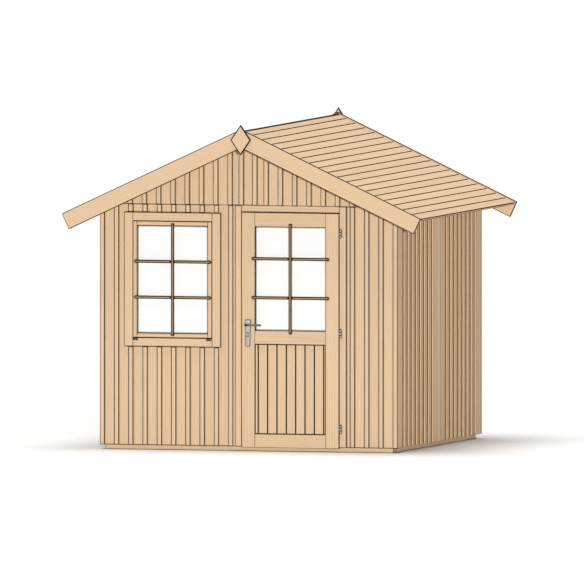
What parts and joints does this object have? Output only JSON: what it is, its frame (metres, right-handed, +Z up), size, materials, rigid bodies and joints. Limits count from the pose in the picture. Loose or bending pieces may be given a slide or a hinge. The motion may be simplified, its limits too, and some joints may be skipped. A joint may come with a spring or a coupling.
{
  "type": "wooden garden shed",
  "caption": "Small wooden garden shed with board-and-batten walls, a boarded gable roof, a paned window and a half-glazed door that swings out on barrel hinges.",
  "frame": {"origin": "on the ground under the middle of the whole shed, roof overhangs included", "axes": "+Z up, front with door and window towards -Y, +X to the right seen from the front"},
  "size_m": [2.804, 2.665, 2.4637],
  "materials": {
    "spruce": "planed, untreated",
    "glazing": "opal white",
    "satin_steel": "satin"
  },
  "bodies": {
    "shed": {"back_finial": "spruce", "back_gable": "spruce", "back_left_barge": "spruce", "back_right_barge": "spruce", "back_wall": "spruce", "door_head": "spruce", "door_jambs": "spruce", "door_stops": "spruce", "eave_plates": "spruce", "end_battens": "spruce", "end_plates": "spruce", "end_sills": "spruce", "floor_deck": "spruce", "floor_joists": "spruce", "front_finial": "spruce", "front_gable": "spruce", "front_left_barge": "spruce", "front_right_barge": "spruce", "front_studs": "spruce", "front_wall_above_window": "spruce", "front_wall_below_window": "spruce", "front_wall_left": "spruce", "front_wall_middle": "spruce", "front_wall_over_door": "spruce", "front_wall_right": "spruce", "gable_battens": "spruce", "jamb_hinges": "satin_steel", "left_cover_boards": "spruce", "left_rafters": "spruce", "left_wall": "spruce", "right_cover_boards": "spruce", "right_rafters": "spruce", "right_wall": "spruce", "roof_left": "spruce", "roof_right": "spruce", "side_battens": "spruce", "side_sills": "spruce", "wall_studs": "spruce", "window_pane": "glazing", "window_sash_rails": "spruce", "window_sash_stiles": "spruce", "window_trim_rails": "spruce", "window_trim_sides": "spruce"},
    "door": {"door_stiles": "spruce", "door_rails": "spruce", "door_panel": "spruce", "door_pane": "glazing", "door_hinges": "satin_steel", "lock_plates": "satin_steel"},
    "handle": {"door_lever": "satin_steel"}
  },
  "joints": [
    {"name": "door_swing", "type": "hinge", "parent": "shed", "child": "door", "pos_m": [0.722, -1.1285, 0.911], "axis": [0, 0, 1], "range_deg": [0, 145]},
    {"name": "handle_turn", "type": "hinge", "parent": "door", "child": "handle", "pos_m": [0, -1.1095, 0.949], "axis": [0, 1, 0], "range_deg": [0, 45], "stiffness_Nm_per_rad": 2, "springref_deg": -17.19}
  ]
}
